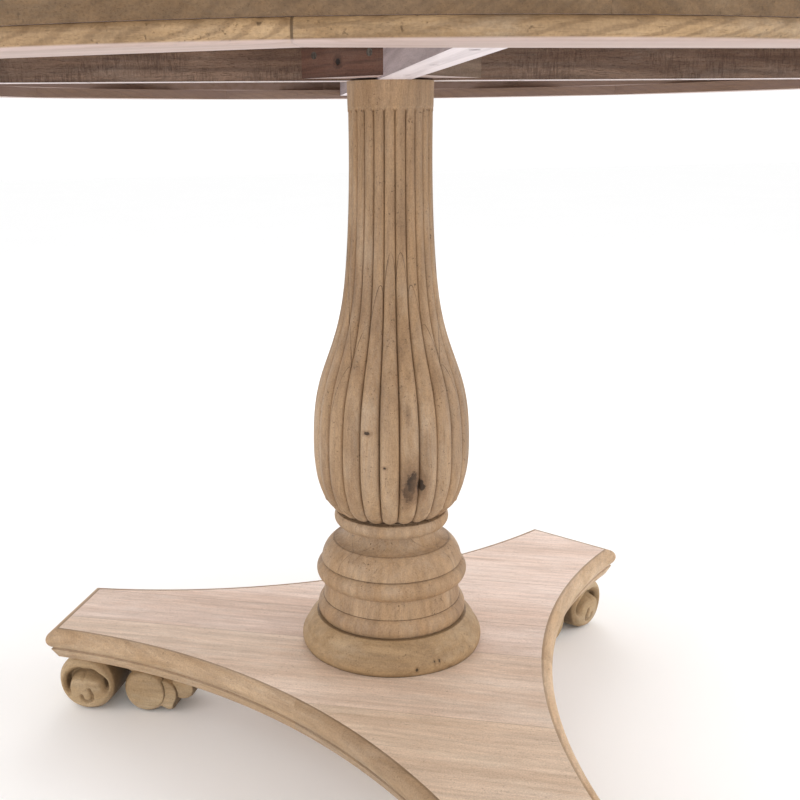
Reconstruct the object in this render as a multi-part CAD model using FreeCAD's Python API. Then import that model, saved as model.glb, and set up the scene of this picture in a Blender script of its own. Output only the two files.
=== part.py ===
import FreeCAD, Part
import math
import os
from FreeCAD import Vector

# Round pedestal table: planked top on a segmented apron, a cross of two bearers,
# a turned and glued-up column, and a three-armed platform on scroll feet.
# Millimetres and degrees. The origin is on the floor under the column's axis, +Z up,
# and one arm of the platform points along -Y. Directions are compass angles: 0 is +Y,
# 90 is +X.

# ---- platform and feet ----
foot_height = 71.5
platform_thickness = 35.0
arm_length = 375.0            # from the axis to the end of the planks
arm_end_half_width = 54.0
waist = 166.0                 # from the axis to the middle of a hollow side
lipping_width = 11.0
lipping_round_height = 22.0   # the convex upper part of the lipping
lipping_crease_depth = 5.0
lipping_band_inset = 3.2      # the lower band's upper edge, behind the round
lipping_band_step = 1.5       # from the crease down to that edge
lipping_foot_inset = 9.0      # how far the lower edge falls back from the round
plank_seams = (-160.0, -23.0, 52.0, 167.0)   # across the left arm's axis
lipping_joints = ((-27.0, 94.0), (17.0,), (17.0,))   # along each side from its middle
scarf_angle = 30.0
arm_angles = (60.0, 180.0, 300.0)
plank_angle = 300.0           # the planks lie along this arm

# ---- scroll foot, measured along the arm from the column's axis ----
sole_flat = 0.8               # cut off the bottom of each roll, so it stands flat
volute_gap = 2.8              # between the volute and the platform
volute_overhang = 12.0        # past the end of the planks
volute_half_width = 45.0
boss_height = 8.0             # the carved spiral stands out of the volute's sides
boss_inset = 8.0
boss_tip_radius = 9.0
lobe_radius = 27.0
leaf_radius = 18.5
leaf_drop = 47.5              # the leaf's centre below the platform
curl_radius = 15.0
curl_drop = 40.0
lobe_step = 69.0              # the smaller rolls, inwards from the volute's centre
leaf_step = 90.0
curl_step = 113.0
lobe_half_width = 33.0
web_thickness = 26.0          # the foot's upper part, flat under the platform

# ---- column, stacked upwards from the platform ----
base_ring_height = 34.0
base_ring_radius = 98.5
base_ring_foot_radius = 96.6
base_ring_top_radius = 82.0
spigot_radius = 60.0
lower_torus_height = 19.0
lower_torus_radius = 80.5
torus_tuck = 2.5              # how far its lower edge falls back
band_height = 20.0
band_radius = 73.4            # at the middle of its slope
band_slope = 1.0
upper_torus_height = 22.0
upper_torus_radius = 81.5
ovolo_height = 23.0
ovolo_radius = 76.0
ovolo_lip_radius = 63.0
ovolo_lap = 2.5               # how far it stands over the torus below
hollow_height = 18.0
hollow_radius = 46.5
collar_height = 16.0
collar_radius = 61.5
shaft_height = 441.0
neck_radius = 42.2
bulb_radius = 83.1
core_half_width = 44.5        # the square core, faced with four cheeks
# shares of the shaft's height, and of the swell from the neck to the bulb
shaft_swell = ((0.0, 0.36), (0.019, 0.623), (0.04, 0.763), (0.10, 0.96), (0.18, 1.0),
               (0.26, 0.944), (0.318, 0.814), (0.3755, 0.604), (0.432, 0.396),
               (0.507, 0.213), (0.60, 0.10), (0.71, 0.032), (0.84, 0.0), (1.0, 0.02))

# ---- bearers, apron and top ----
column_turn = 13.4            # the bearers and the column's core, against the platform
bearer_width = 32.0
bearer_height = 45.0
block_leg = 71.0              # corner blocks, along each bearer
block_recess = 2.0
apron_drop = 4.0              # below the bearers' underside
bead_height = 12.0
bead_nose = 5.0               # rounding of the bead's outer edge
apron_setback = 3.0           # the upper ring's face behind the bead's
apron_width = 50.0            # from the bead's face to the flat inside of a segment
apron_segments = 12
apron_turn = 24.2             # one joint of the bead ring
bearer_gap = 1.5              # between a bearer's end and the bead ring
top_radius = 600.0
top_overhang = 24.0           # past the bead
top_thickness = 23.0
top_edge_round = 5.0
top_planks = 7

# ---- fixings ----
rod_radius = 5.0
rod_clearance = 0.5
rod_stub = 1.0                # thread past each nut
washer_radius = 11.0
washer_thickness = 2.0
washer_room = 1.0
nut_flats = 16.0
nut_height = 8.0
nut_cover = 2.0               # from the rod's end to the mouth of its recess
screw_radius = 2.0
screw_head_radius = 3.6
screw_head_height = 2.4
screw_clearance = 0.15
block_screw_place = 0.68      # share of the way from the sloping face's middle to its end
block_screw_bite = 0.85       # share of the way through the bearer
foot_screw_spread = 22.0
foot_screw_step = 34.0        # inwards from the volute's centre
foot_screw_bite = 0.7         # share of the platform's thickness
foot_screw_recess = 2.6       # the head above the web's underside
top_screw_bite = 0.65         # share of the planks' thickness
top_screw_recess = 14.0
top_screw_inset = 75.0        # the last one from the bearer's end
top_screw_start = 43.0        # the first one past the corner block

# ---- levels ----
platform_top = foot_height + platform_thickness
ring_top = platform_top + base_ring_height
lower_torus_top = ring_top + lower_torus_height
band_top = lower_torus_top + band_height
upper_torus_top = band_top + upper_torus_height
ovolo_top = upper_torus_top + ovolo_height
hollow_top = ovolo_top + hollow_height
collar_top = hollow_top + collar_height
column_top = collar_top + shaft_height
bearer_top = column_top + bearer_height
bead_bottom = column_top - apron_drop
bead_top = bead_bottom + bead_height
table_top = bearer_top + top_thickness

# ---- sizes that follow from those above ----
volute_radius = (foot_height + sole_flat - volute_gap) / 2.0
volute_place = arm_length + volute_overhang - volute_radius
lobe_place = volute_place - lobe_step
leaf_place = volute_place - leaf_step
curl_place = volute_place - curl_step
foot_screw_place = volute_place - foot_screw_step
foot_screw_rise = web_thickness - foot_screw_recess
foot_screw_length = foot_screw_rise + foot_screw_bite * platform_thickness
bead_radius = top_radius - top_overhang
apron_flat = bead_radius - apron_width
bearer_half_length = apron_flat - bearer_gap
block_face_half = block_leg / math.sqrt(2.0)
block_screw_side = block_screw_place * block_face_half
block_screw_length = (block_face_half - block_screw_side
                      + block_screw_bite * bearer_width * math.sqrt(2.0))
top_screw_length = bearer_height - top_screw_recess + top_screw_bite * top_thickness
top_screw_first = bearer_width / 2.0 + block_leg + top_screw_start
top_screw_last = bearer_half_length - top_screw_inset
top_screw_places = (top_screw_first, (top_screw_first + top_screw_last) / 2.0, top_screw_last)
nut_recess_radius = washer_radius + washer_room
nut_recess_depth = washer_thickness + nut_height + rod_stub + nut_cover
BIG = 2.0 * top_radius
FULL_TURN = 360.0
axis_z = Vector(0, 0, 1)
floor_point = Vector(0, 0, 0)

os.makedirs("parts", exist_ok=True)


def save(name, shape):
    shape.exportStep(os.path.join("parts", name + ".step"))


def towards(angle, distance, height=0.0):
    """The point at a distance from the axis in a compass direction."""
    a = math.radians(angle)
    return Vector(distance * math.sin(a), distance * math.cos(a), height)


def turned(shape, angle):
    """The shape turned clockwise, seen from above."""
    copy = shape.copy()
    copy.rotate(floor_point, axis_z, -angle)
    return copy


def block(x0, x1, y0, y1, z0, z1):
    return Part.makeBox(x1 - x0, y1 - y0, z1 - z0, Vector(x0, y0, z0))


def revolved(edges):
    """A solid of revolution from edges in the XZ plane that close a face."""
    return Part.Face(Part.Wire(edges)).revolve(floor_point, axis_z, FULL_TURN)


def line(a, b):
    return Part.makeLine(Vector(*a), Vector(*b))


def arc(a, b, c):
    return Part.Arc(Vector(*a), Vector(*b), Vector(*c)).toShape()


def upright(radius, bottom, top, x=0.0, y=0.0):
    return Part.makeCylinder(radius, top - bottom, Vector(x, y, bottom))


# ---- platform ----
def side_arc():
    """Radius of a hollow side, and its centre's distance from the axis."""
    half_turn = math.radians(60.0)
    corner_out = arm_end_half_width * math.sin(half_turn) + arm_length * math.cos(half_turn)
    corner_along = arm_length * math.sin(half_turn) - arm_end_half_width * math.cos(half_turn)
    sagitta = corner_out - waist
    radius = (sagitta ** 2 + corner_along ** 2) / (2.0 * sagitta)
    return radius, waist + radius


side_radius, side_centre = side_arc()


def planked_field():
    """The three-armed field inside the lipping, as one slab."""
    edges = []
    for angle in arm_angles:
        left = towards(angle, arm_length) + towards(angle - 90.0, arm_end_half_width)
        right = towards(angle, arm_length) + towards(angle + 90.0, arm_end_half_width)
        next_left = towards(angle + 120.0, arm_length) + towards(angle + 30.0, arm_end_half_width)
        edges.append(Part.makeLine(left, right))
        edges.append(Part.Arc(right, towards(angle + 60.0, waist), next_left).toShape())
    slab = Part.Face(Part.Wire(edges)).extrude(Vector(0, 0, platform_thickness))
    slab.translate(Vector(0, 0, foot_height))
    return slab


def platform_planks():
    bounds = (-BIG,) + plank_seams + (BIG,)
    field = planked_field().cut(rod_hole())
    field = field.cut(upright(nut_recess_radius, foot_height, foot_height + nut_recess_depth))
    for hole in foot_screw_holes():
        field = field.cut(hole)
    for number, (low, high) in enumerate(zip(bounds, bounds[1:]), 1):
        strip = turned(block(low, high, -BIG, BIG, 0, platform_top), plank_angle)
        save("platform_plank_%d" % number, field.common(strip))


def lipping_face(place, outward):
    """Cross-section of the lipping in the XZ plane, standing out from x = place."""
    round_bottom = platform_top - lipping_round_height
    crease = place + outward * (lipping_width - lipping_crease_depth)
    foot = place + outward * (lipping_width - lipping_foot_inset)
    band = place + outward * (lipping_width - lipping_band_inset)
    band_level = round_bottom - lipping_band_step
    middle = place + outward * (lipping_width - 0.4)
    edges = [
        line((place, 0, foot_height), (place, 0, platform_top)),
        arc((place, 0, platform_top), (middle, 0, platform_top - 0.3 * lipping_round_height),
            (crease, 0, round_bottom)),
        line((crease, 0, round_bottom), (band, 0, band_level)),
        line((band, 0, band_level), (foot, 0, foot_height)),
        line((foot, 0, foot_height), (place, 0, foot_height)),
    ]
    return Part.Face(Part.Wire(edges))


def mitre_cutter(angle, side):
    """Half-space beyond the mitre at one corner of an arm's end, as a large prism."""
    corner = towards(angle, arm_length) + towards(angle + side * 90.0, arm_end_half_width)
    tangent_turn = math.degrees(math.asin(
        (arm_length * math.sin(math.radians(60.0)) - arm_end_half_width * 0.5) / side_radius))
    taper = 30.0 - tangent_turn
    mitre = angle + side * (90.0 - taper) / 2.0
    prism = block(0.0, BIG, -BIG, BIG, 0, platform_top + 1.0)
    prism = turned(prism, mitre if side > 0 else mitre + 180.0)
    prism.translate(corner)
    return prism


def end_lipping(angle):
    face = lipping_face(arm_length, 1.0)
    half = arm_end_half_width + 2.0 * lipping_width
    bar = face.extrude(Vector(0, 2.0 * half, 0))
    bar.translate(Vector(0, -half, 0))
    bar = turned(bar, angle - 90.0)
    bar = bar.cut(mitre_cutter(angle, 1))
    return bar.cut(mitre_cutter(angle, -1))


def side_lipping(angle):
    """The whole lipping of the hollow side whose middle lies in this direction."""
    face = lipping_face(side_radius, -1.0)
    ring = face.revolve(floor_point, axis_z, FULL_TURN)
    ring.translate(Vector(side_centre, 0, 0))
    ring = ring.common(block(0, side_centre, -BIG, BIG, 0, platform_top))
    ring = turned(ring, angle - 90.0)
    ring = ring.common(mitre_cutter(angle - 60.0, 1))
    return ring.common(mitre_cutter(angle + 60.0, -1))


def scarf_cutter(angle, along):
    """Half-space past a scarf joint, at a distance along a hollow side."""
    turn = math.asin(along / side_radius)
    out = side_centre - side_radius * math.cos(turn)
    joint = towards(angle, out) + towards(angle - 90.0, along)
    prism = block(-BIG, 0, -BIG, BIG, 0, platform_top + 1.0)
    prism = turned(prism, angle - math.degrees(turn) + 90.0 - scarf_angle - 90.0)
    prism.translate(joint)
    return prism


def platform_lippings():
    for angle in arm_angles:
        save("end_lipping_%d" % (arm_angles.index(angle) + 1), end_lipping(angle))
    number = 0
    for angle, joints in zip(arm_angles, lipping_joints):
        rest = side_lipping(angle + 60.0)
        for along in joints:
            number += 1
            cutter = scarf_cutter(angle + 60.0, along)
            save("side_lipping_%d" % number, rest.cut(cutter))
            rest = rest.common(cutter)
        number += 1
        save("side_lipping_%d" % number, rest)


# ---- feet ----
def roll(radius, place, half_width):
    """A horizontal roll across the arm, cut flat where it meets the floor."""
    centre = Vector(place, -half_width, radius - sole_flat)
    cylinder = Part.makeCylinder(radius, 2.0 * half_width, centre, Vector(0, 1, 0))
    return cylinder.cut(block(-BIG, BIG, -BIG, BIG, -BIG, 0))


def spiral_boss(side):
    centre = Vector(volute_place, side * volute_half_width, volute_radius - sole_flat)
    return Part.makeCone(volute_radius - boss_inset, boss_tip_radius, boss_height, centre,
                         Vector(0, side, 0))


def scroll_foot():
    """One foot, under the arm that points along +X."""
    web = block(curl_place, volute_place, -lobe_half_width, lobe_half_width,
                foot_height - web_thickness, foot_height)
    pad = block(volute_place - volute_radius, volute_place, -volute_half_width, volute_half_width,
                foot_height - 0.4 * web_thickness, foot_height)
    curl = Part.makeCylinder(curl_radius, 2.0 * lobe_half_width,
                             Vector(curl_place, -lobe_half_width, foot_height - curl_drop),
                             Vector(0, 1, 0))
    curl_neck = block(curl_place - 0.6 * curl_radius, curl_place + curl_radius, -lobe_half_width,
                      lobe_half_width, foot_height - curl_drop, foot_height)
    foot = roll(volute_radius, volute_place, volute_half_width)
    lobe = roll(lobe_radius, lobe_place, lobe_half_width)
    leaf = Part.makeCylinder(leaf_radius, 2.0 * lobe_half_width,
                             Vector(leaf_place, -lobe_half_width, foot_height - leaf_drop),
                             Vector(0, 1, 0))
    leaf_neck = block(leaf_place - leaf_radius, lobe_place, -lobe_half_width, lobe_half_width,
                      foot_height - leaf_drop, foot_height)
    pieces = [web, pad, curl, curl_neck, lobe, leaf, leaf_neck, spiral_boss(1), spiral_boss(-1)]
    return foot.fuse(pieces).removeSplitter()


def screw(length):
    """A countersunk wood screw, head at the origin, pointing up."""
    head = Part.makeCone(screw_head_radius, screw_radius, screw_head_height)
    return head.fuse(Part.makeCylinder(screw_radius, length)).removeSplitter()


def screw_hole(length):
    """The hole a screw sits in: its head seats on the cone, and the mouth is open below."""
    head = Part.makeCone(screw_head_radius, screw_radius, screw_head_height)
    shank = Part.makeCylinder(screw_radius + screw_clearance, length + screw_clearance)
    mouth = upright(screw_head_radius, -BIG, 0.0)
    return head.fuse([shank, mouth])


def foot_screw_spots():
    low = foot_height - foot_screw_rise
    for angle in arm_angles:
        for side in (-1, 1):
            spot = towards(angle, foot_screw_place, low)
            yield spot + towards(angle + 90.0, side * foot_screw_spread)


def placed(shape, spot):
    copy = shape.copy()
    copy.translate(spot)
    return copy


def foot_screw_holes():
    return [placed(screw_hole(foot_screw_length), spot) for spot in foot_screw_spots()]


def feet():
    foot = scroll_foot()
    holes = foot_screw_holes()
    for number, angle in enumerate(arm_angles, 1):
        save("scroll_foot_%d" % number, turned(foot, angle - 90.0).cut(holes))
    screws = [placed(screw(foot_screw_length), spot) for spot in foot_screw_spots()]
    save("foot_screws", Part.makeCompound(screws))


# ---- column ----
def base_ring():
    shoulder_radius = base_ring_radius - 5.0
    shoulder_height = 0.55 * base_ring_height
    edges = [
        line((spigot_radius, 0, platform_top), (base_ring_foot_radius, 0, platform_top)),
        arc((base_ring_foot_radius, 0, platform_top),
            (base_ring_radius, 0, platform_top + 0.24 * base_ring_height),
            (shoulder_radius, 0, platform_top + shoulder_height)),
        arc((shoulder_radius, 0, platform_top + shoulder_height),
            (shoulder_radius - 4.3, 0, platform_top + 0.8 * base_ring_height),
            (base_ring_top_radius, 0, ring_top)),
        line((base_ring_top_radius, 0, ring_top), (spigot_radius, 0, ring_top)),
        line((spigot_radius, 0, ring_top), (spigot_radius, 0, platform_top)),
    ]
    save("base_ring", revolved(edges))


def shaft_edge():
    swell = bulb_radius - neck_radius
    points = []
    for rise, share in shaft_swell:
        points.append(Vector(neck_radius + share * swell, 0, collar_top + rise * shaft_height))
    curve = Part.BSplineCurve()
    curve.interpolate(points)
    return curve.toShape(), points[0].x, points[-1].x


def column_blank():
    """The turned column as one solid, down to the spigot inside the base ring."""
    shaft, shaft_foot, shaft_head = shaft_edge()
    torus_foot = lower_torus_radius - torus_tuck
    hollow_mid = hollow_radius + 0.22 * (ovolo_lip_radius - hollow_radius)
    edges = [
        line((0, 0, platform_top), (spigot_radius, 0, platform_top)),
        line((spigot_radius, 0, platform_top), (spigot_radius, 0, ring_top)),
        line((spigot_radius, 0, ring_top), (torus_foot, 0, ring_top)),
        arc((torus_foot, 0, ring_top),
            (lower_torus_radius, 0, ring_top + 0.42 * lower_torus_height),
            (band_radius + band_slope, 0, lower_torus_top)),
        line((band_radius + band_slope, 0, lower_torus_top), (band_radius - band_slope, 0, band_top)),
        arc((band_radius - band_slope, 0, band_top),
            (upper_torus_radius, 0, band_top + 0.5 * upper_torus_height),
            (ovolo_radius - ovolo_lap, 0, upper_torus_top)),
        line((ovolo_radius - ovolo_lap, 0, upper_torus_top), (ovolo_radius, 0, upper_torus_top)),
        arc((ovolo_radius, 0, upper_torus_top),
            (ovolo_radius - 3.5, 0, upper_torus_top + 0.55 * ovolo_height),
            (ovolo_lip_radius, 0, ovolo_top)),
        arc((ovolo_lip_radius, 0, ovolo_top),
            (hollow_mid, 0, ovolo_top + 0.38 * hollow_height),
            (hollow_radius, 0, hollow_top - 0.1 * hollow_height)),
        line((hollow_radius, 0, hollow_top - 0.1 * hollow_height), (hollow_radius, 0, hollow_top)),
        line((hollow_radius, 0, hollow_top), (collar_radius - 4.0, 0, hollow_top)),
        arc((collar_radius - 4.0, 0, hollow_top),
            (collar_radius, 0, hollow_top + 0.55 * collar_height),
            (shaft_foot, 0, collar_top)),
        shaft,
        line((shaft_head, 0, column_top), (0, 0, column_top)),
        line((0, 0, column_top), (0, 0, platform_top)),
    ]
    return revolved(edges)


def rod_hole():
    return upright(rod_radius + rod_clearance, 0, table_top)


def column():
    """A square core with four cheeks: the front and back ones run its full width."""
    blank = column_blank()
    half = core_half_width
    core = block(-half, half, -half, half, 0, table_top)
    save("column_core", turned(blank.common(core).cut(rod_hole()), column_turn))
    regions = {
        "column_cheek_back": block(-BIG, BIG, half, BIG, 0, table_top),
        "column_cheek_right": block(half, BIG, -half, half, 0, table_top),
        "column_cheek_front": block(-BIG, BIG, -BIG, -half, 0, table_top),
        "column_cheek_left": block(-BIG, -half, -half, half, 0, table_top),
    }
    for name, region in regions.items():
        save(name, turned(blank.common(region), column_turn))


def hexagon(bottom):
    radius = nut_flats / math.sqrt(3.0)
    corners = [towards(60.0 * k, radius, bottom) for k in range(7)]
    return Part.Face(Part.makePolygon(corners)).extrude(Vector(0, 0, nut_height))


def tie_rod():
    """The rod that clamps the platform, the column and the bearers together."""
    low_seat = foot_height + nut_recess_depth
    high_seat = bearer_top - nut_recess_depth
    rod_bottom = low_seat - washer_thickness - nut_height - rod_stub
    rod_top = high_seat + washer_thickness + nut_height + rod_stub
    save("tie_rod", upright(rod_radius, rod_bottom, rod_top))
    hole = rod_hole()
    nuts = [hexagon(low_seat - washer_thickness - nut_height), hexagon(high_seat + washer_thickness)]
    snug = upright(rod_radius, 0, table_top)
    save("rod_nuts", Part.makeCompound([nut.cut(snug) for nut in nuts]))
    washers = [upright(washer_radius, low_seat - washer_thickness, low_seat),
               upright(washer_radius, high_seat, high_seat + washer_thickness)]
    save("rod_washers", Part.makeCompound([washer.cut(hole) for washer in washers]))


# ---- bearers and corner blocks ----
def top_screw_spots():
    low = column_top + top_screw_recess
    for angle in range(0, 360, 90):
        for place in top_screw_places:
            yield towards(column_turn + angle, place, low)


def block_screws(shape):
    """Copies of an upward screw or hole, driven square through the corner blocks' faces."""
    height = column_top + 0.5 * bearer_height
    face_out = (bearer_width + block_leg) / math.sqrt(2.0)
    copies = []
    for corner in range(4):
        for side in (-1, 1):
            copy = shape.copy()
            copy.rotate(floor_point, Vector(0, 1, 0), -90.0)
            copy.translate(Vector(face_out, side * block_screw_side, height))
            copies.append(turned(copy, column_turn - 45.0 + 90.0 * corner))
    return copies


def bearer(lap_bottom, lap_top):
    """One bearer along Y, less the half lap between two levels and the rod's hole."""
    half = bearer_width / 2.0
    bar = block(-half, half, -bearer_half_length, bearer_half_length, column_top, bearer_top)
    lap = block(-half, half, -half, half, lap_bottom, lap_top)
    recess = upright(nut_recess_radius, bearer_top - nut_recess_depth, bearer_top)
    return bar.cut([lap, rod_hole(), recess])


def bearers():
    middle = column_top + 0.5 * bearer_height
    screws = [placed(screw(top_screw_length), spot) for spot in top_screw_spots()]
    holes = [placed(screw_hole(top_screw_length), spot) for spot in top_screw_spots()]
    holes = holes + block_screws(screw_hole(block_screw_length))
    save("bearer_long", turned(bearer(middle, bearer_top), column_turn).cut(holes))
    save("bearer_cross", turned(bearer(column_top, middle), column_turn + 90.0).cut(holes))
    save("top_screws", Part.makeCompound(screws))


def corner_blocks():
    half = bearer_width / 2.0
    low = column_top + block_recess
    corners = [(half, half, low), (half + block_leg, half, low), (half, half + block_leg, low),
               (half, half, low)]
    face = Part.Face(Part.makePolygon([Vector(*corner) for corner in corners]))
    prism = face.extrude(Vector(0, 0, bearer_top - low))
    holes = block_screws(screw_hole(block_screw_length))
    for number in range(4):
        piece = turned(prism, column_turn + 90.0 * number).cut(holes)
        save("corner_block_%d" % (number + 1), piece)
    save("block_screws", Part.makeCompound(block_screws(screw(block_screw_length))))


# ---- apron and top ----
def apron_segment(outer, bottom, top, nose):
    """A segment centred on +Y: a round outside, a flat inside and radial ends."""
    half_turn = 180.0 / apron_segments
    ring = upright(outer, bottom, top)
    if nose > 0.0:
        rims = [edge for edge in ring.Edges if len(edge.Vertexes) == 1]
        ring = ring.makeFillet(nose, rims)
    inner = block(-BIG, BIG, -BIG, apron_flat, bottom, top)
    left = turned(block(-BIG, 0, -BIG, BIG, bottom, top), -half_turn)
    right = turned(block(0, BIG, -BIG, BIG, bottom, top), half_turn)
    return ring.cut([inner, left, right])


def apron():
    step = FULL_TURN / apron_segments
    bead = apron_segment(bead_radius, bead_bottom, bead_top, bead_nose)
    upper = apron_segment(bead_radius - apron_setback, bead_top, bearer_top, 0.0)
    for number in range(apron_segments):
        angle = apron_turn + step * (number + 0.5)
        save("apron_bead_%d" % (number + 1), turned(bead, angle))
    per_node = apron_segments // 4
    for quarter in range(4):
        first = quarter * per_node
        segments = [turned(upper, apron_turn + step * k) for k in range(first, first + per_node)]
        save("apron_ring_%d" % (quarter + 1), Part.makeCompound(segments))


def top_disc():
    """The whole top as a disc with its upper and lower edges rounded."""
    inside = top_radius - top_edge_round
    mid = top_radius - top_edge_round * (1.0 - math.sqrt(0.5))
    slack = top_edge_round * (1.0 - math.sqrt(0.5))
    edges = [
        line((0, 0, bearer_top), (inside, 0, bearer_top)),
        arc((inside, 0, bearer_top), (mid, 0, bearer_top + slack),
            (top_radius, 0, bearer_top + top_edge_round)),
        line((top_radius, 0, bearer_top + top_edge_round),
             (top_radius, 0, table_top - top_edge_round)),
        arc((top_radius, 0, table_top - top_edge_round), (mid, 0, table_top - slack),
            (inside, 0, table_top)),
        line((inside, 0, table_top), (0, 0, table_top)),
        line((0, 0, table_top), (0, 0, bearer_top)),
    ]
    return turned(revolved(edges), column_turn)


def top():
    disc = top_disc()
    holes = [placed(screw_hole(top_screw_length), spot) for spot in top_screw_spots()]
    width = 2.0 * top_radius / top_planks
    for number in range(top_planks):
        low = -top_radius + number * width
        strip = block(low, low + width, -BIG, BIG, 0, BIG)
        save("top_plank_%d" % (number + 1), disc.common(turned(strip, column_turn)).cut(holes))


platform_planks()
platform_lippings()
feet()
base_ring()
column()
tie_rod()
bearers()
corner_blocks()
apron()
top()
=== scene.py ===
"""Looks of a round pedestal table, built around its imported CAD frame.

Everything is in metres in the frame's own axes: the column's axis is Z and the floor is z = 0.
Directions are compass angles in degrees: 0 is +Y and 90 is +X.
"""
import math

import bpy
from mathutils import Matrix, Vector
from mathutils.bvhtree import BVHTree


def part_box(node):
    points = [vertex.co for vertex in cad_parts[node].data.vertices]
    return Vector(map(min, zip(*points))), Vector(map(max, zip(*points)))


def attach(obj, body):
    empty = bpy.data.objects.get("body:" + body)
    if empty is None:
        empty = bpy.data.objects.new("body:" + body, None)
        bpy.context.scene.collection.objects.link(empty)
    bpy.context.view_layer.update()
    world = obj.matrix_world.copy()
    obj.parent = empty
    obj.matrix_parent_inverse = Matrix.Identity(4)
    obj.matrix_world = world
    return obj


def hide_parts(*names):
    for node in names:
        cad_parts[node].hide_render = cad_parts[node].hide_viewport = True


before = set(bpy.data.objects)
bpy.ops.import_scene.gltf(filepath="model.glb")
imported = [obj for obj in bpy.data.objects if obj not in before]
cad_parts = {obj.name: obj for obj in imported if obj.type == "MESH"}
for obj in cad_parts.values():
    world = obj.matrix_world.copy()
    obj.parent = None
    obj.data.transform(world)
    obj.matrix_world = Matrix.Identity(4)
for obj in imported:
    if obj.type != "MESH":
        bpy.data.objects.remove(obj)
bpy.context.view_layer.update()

MM = 0.001

# ---- places read from the frame ----
platform_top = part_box("platform_plank_2")[1].z
foot_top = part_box("scroll_foot_2")[1].z
ring_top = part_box("base_ring")[1].z
column_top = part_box("column_core")[1].z

# ---- angles the part is built on ----
column_turn = 13.4        # the bearers and the column's glued-up core
arm_angles = (60.0, 180.0, 300.0)
plank_angle = 300.0       # the platform's planks lie along this arm
bead_turn = 24.2          # one joint of the bead ring
segment_turn = 30.0


def compass(angle, distance=1.0, height=0.0):
    a = math.radians(angle)
    return Vector((distance * math.sin(a), distance * math.cos(a), height))


# ---- node helpers ----
seed_shift = (1.37, 0.731, 0.419)     # metres per unit of a wood's seed
least_lean = 0.06                     # a glue line's widening stops here


def node(tree, kind, inputs=None, **settings):
    made = tree.nodes.new(kind)
    for key, value in settings.items():
        setattr(made, key, value)
    for key, value in (inputs or {}).items():
        if isinstance(value, bpy.types.NodeSocket):
            tree.links.new(value, made.inputs[key])
        else:
            made.inputs[key].default_value = value
    return made


def maths(tree, operation, a, b=0.0):
    return node(tree, "ShaderNodeMath", {0: a, 1: b}, operation=operation).outputs[0]


def folded(tree, operation, values):
    """One value from several, by a maths operation taken from the left."""
    result = values[0]
    for value in values[1:]:
        result = maths(tree, operation, result, value)
    return result


def times(tree, *values):
    return folded(tree, "MULTIPLY", values)


def highest(tree, *values):
    return folded(tree, "MAXIMUM", values)


def vector_maths(tree, operation, a, b=None):
    """A vector operation; the length and the dot product give a number."""
    inputs = {0: a} if b is None else {0: a, 1: b}
    made = node(tree, "ShaderNodeVectorMath", inputs, operation=operation)
    return made.outputs["Value" if operation in ("LENGTH", "DOT_PRODUCT") else "Vector"]


def mapped(tree, value, low, high, to_low=0.0, to_high=1.0):
    """A smooth step from to_low, where the value is low, to to_high, where it is high."""
    return node(tree, "ShaderNodeMapRange",
                {"Value": value, "From Min": low, "From Max": high, "To Min": to_low,
                 "To Max": to_high}, interpolation_type="SMOOTHSTEP").outputs["Result"]


def mixed(tree, share, a, b, blend="MIX"):
    made = node(tree, "ShaderNodeMix", {0: share, 6: a, 7: b}, data_type="RGBA", blend_type=blend)
    return made.outputs[2]


def fibres(tree, place, along, across, detail=3.0, rough=0.55):
    """Noise drawn out along the local X axis, in cycles per metre."""
    stretched = vector_maths(tree, "MULTIPLY", place, (along, across, across))
    return node(tree, "ShaderNodeTexNoise",
                {"Vector": stretched, "Scale": 1.0, "Detail": detail,
                 "Roughness": rough}).outputs["Fac"]


def grey(value):
    return (value, value, value, 1.0)


def rgb(colour):
    return (colour[0], colour[1], colour[2], 1.0)


def local_place(tree, grain, seed):
    """Object coordinates, as they are and turned so that the grain runs along X.

    grain is a compass angle or "up"; the seed moves the turned ones to another piece of wood.
    """
    where = node(tree, "ShaderNodeTexCoord").outputs["Object"]
    if grain == "up":
        turn = (0.0, math.radians(90.0), 0.0)
    else:
        turn = (0.0, 0.0, math.radians(grain - 90.0))
    shift = tuple(seed * share for share in seed_shift)
    turned = node(tree, "ShaderNodeMapping",
                  {"Vector": where, "Rotation": turn, "Location": shift})
    return where, turned.outputs["Vector"]


def distance_to(tree, value, place):
    """How far a number lies from a place."""
    return maths(tree, "ABSOLUTE", maths(tree, "SUBTRACT", value, place))


def plane_line(tree, coordinate, slope, place, half_width):
    """1 within half_width, along the surface, of planes at +-place; slope is the normal's part."""
    off = distance_to(tree, maths(tree, "ABSOLUTE", coordinate), place)
    lean = maths(tree, "SQRT", maths(tree, "SUBTRACT", 1.0, times(tree, slope, slope)))
    off = maths(tree, "DIVIDE", off, maths(tree, "MAXIMUM", lean, least_lean))
    return mapped(tree, off, half_width * 0.5, half_width * 1.6, 1.0, 0.0)


def split(tree, vector, turn=0.0, kind="POINT"):
    """The vector's parts in axes turned clockwise by an angle, seen from above."""
    turned = node(tree, "ShaderNodeMapping",
                  {"Vector": vector, "Rotation": (0.0, 0.0, math.radians(turn))}, vector_type=kind)
    return node(tree, "ShaderNodeSeparateXYZ", {0: turned.outputs[0]}).outputs


def level_line(tree, where, height, half_width):
    """A level line: 1 at the height and 0 beyond half_width."""
    off = distance_to(tree, split(tree, where)[2], height)
    return mapped(tree, off, half_width * 0.4, half_width, 1.0, 0.0)


def knot_distance(tree, where, knot):
    """The distance from a knot (centre, radius, stretch of each axis), and its radius."""
    centre, radius, stretch = knot
    moved = vector_maths(tree, "SUBTRACT", where, centre)
    return vector_maths(tree, "LENGTH", vector_maths(tree, "MULTIPLY", moved, stretch)), radius


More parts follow.
